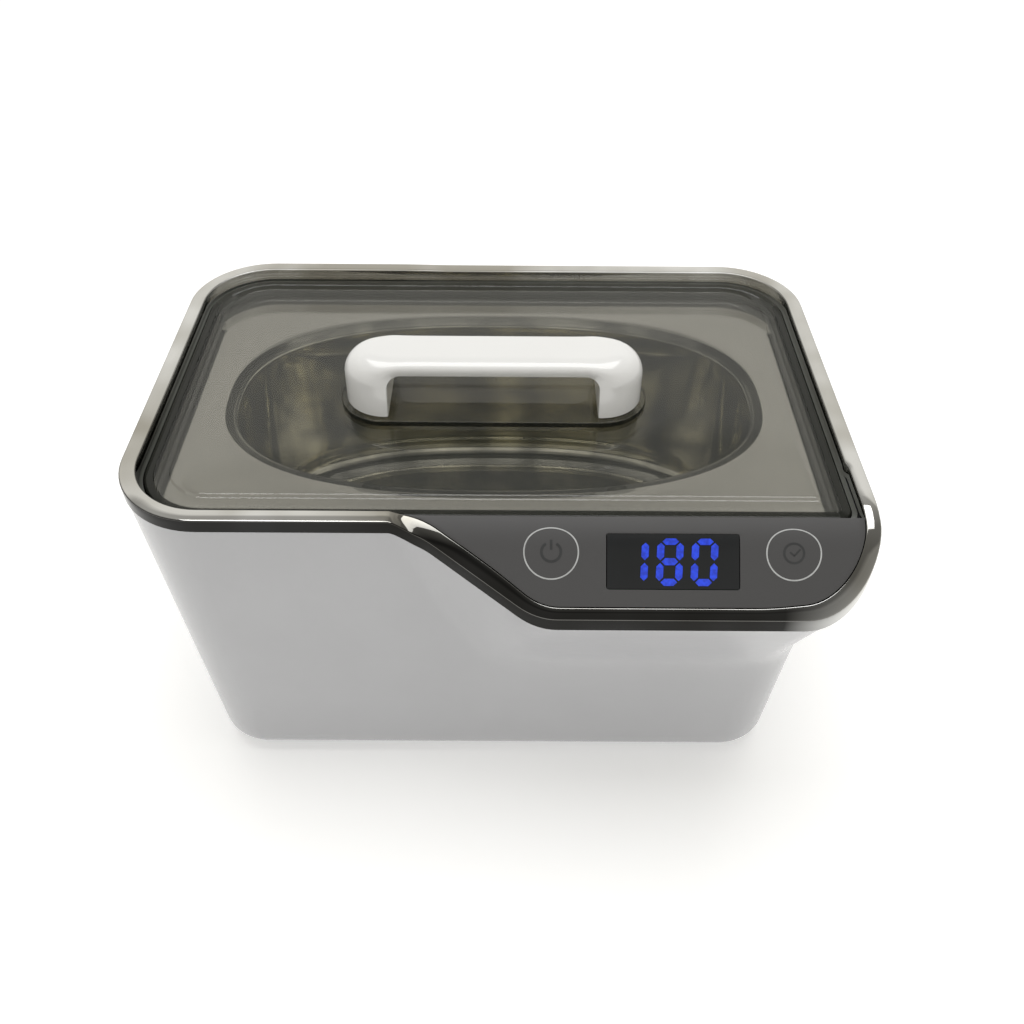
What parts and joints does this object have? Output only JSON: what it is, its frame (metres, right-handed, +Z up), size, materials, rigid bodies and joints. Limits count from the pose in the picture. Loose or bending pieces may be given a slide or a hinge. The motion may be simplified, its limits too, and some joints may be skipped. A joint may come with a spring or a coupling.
{
  "type": "ultrasonic cleaner",
  "caption": "Bench-top ultrasonic cleaner: tapered white tub with bright trim, sloping control nose, steel tank and smoked lift-off lid with an arched handle.",
  "frame": {"origin": "centre of the bounding box footprint, on the surface the feet stand on", "axes": "+X to the right seen from the control panel side, +Y to the back, +Z up"},
  "size_m": [0.208, 0.1512, 0.1324],
  "materials": {
    "white_plastic": "glossy moulded plastic",
    "chrome_plate": "bright plated plastic",
    "black_plastic": "fine satin",
    "fascia_plastic": "smooth dark grey panel",
    "display_lens": "polished dark lens",
    "circuit_board": "solder mask",
    "screw_steel": "zinc plated",
    "smoked_plastic": "smoked clear plastic",
    "polished_steel": "mirror polished stainless steel",
    "silicone": "soft silicone",
    "aluminium": "machined",
    "ceramic": "fired ceramic",
    "brass": "stamped",
    "ferrite": "sintered",
    "copper_winding": "enamelled copper wire",
    "pale_plastic": "moulded",
    "foot_rubber": "moulded rubber",
    "grey_lead": "extruded sleeve",
    "pale_lead": "extruded sleeve"
  },
  "bodies": {
    "tub": {"housing_shell": "white_plastic", "base_cover": "white_plastic", "chrome_trim": "chrome_plate", "top_frame": "black_plastic", "control_fascia": "fascia_plastic", "display_window": "display_lens", "display_module": "black_plastic", "control_board": "circuit_board", "touch_spring_power": "screw_steel", "touch_spring_timer": "screw_steel", "buzzer": "black_plastic", "tank": "polished_steel", "tank_gasket": "silicone", "radiating_head": "aluminium", "piezo_ring_upper": "ceramic", "electrode_plate_upper": "brass", "piezo_ring_lower": "ceramic", "electrode_plate_lower": "brass", "back_mass": "screw_steel", "transducer_bolt": "screw_steel", "driver_board": "circuit_board", "transformer_core": "ferrite", "transformer_winding": "copper_winding", "tuning_choke": "copper_winding", "bulk_capacitor": "black_plastic", "filter_capacitor": "pale_plastic", "heat_sink": "aluminium", "power_transistor_front": "black_plastic", "power_transistor_rear": "black_plastic", "fuse": "pale_plastic", "mains_connector": "pale_plastic", "panel_connector": "pale_plastic", "sound_connector": "pale_plastic", "power_inlet": "black_plastic", "inlet_pin_left": "brass", "inlet_pin_right": "brass", "mains_lead_live": "grey_lead", "mains_lead_neutral": "pale_lead", "sound_lead_upper": "pale_lead", "sound_lead_lower": "grey_lead", "panel_cable": "grey_lead", "foot_1": "foot_rubber", "base_screw_1": "screw_steel", "board_screw_1": "screw_steel", "foot_2": "foot_rubber", "base_screw_2": "screw_steel", "board_screw_2": "screw_steel", "foot_3": "foot_rubber", "base_screw_3": "screw_steel", "board_screw_3": "screw_steel", "foot_4": "foot_rubber", "base_screw_4": "screw_steel", "board_screw_4": "screw_steel"},
    "lid": {"lid_panel": "smoked_plastic", "lid_handle": "white_plastic", "handle_screw_left": "screw_steel", "handle_screw_right": "screw_steel"}
  },
  "joints": [
    {"name": "lid_lift", "type": "slide", "parent": "tub", "child": "lid", "axis": [0, 0, 1], "range_m": [0, 0.06]}
  ]
}
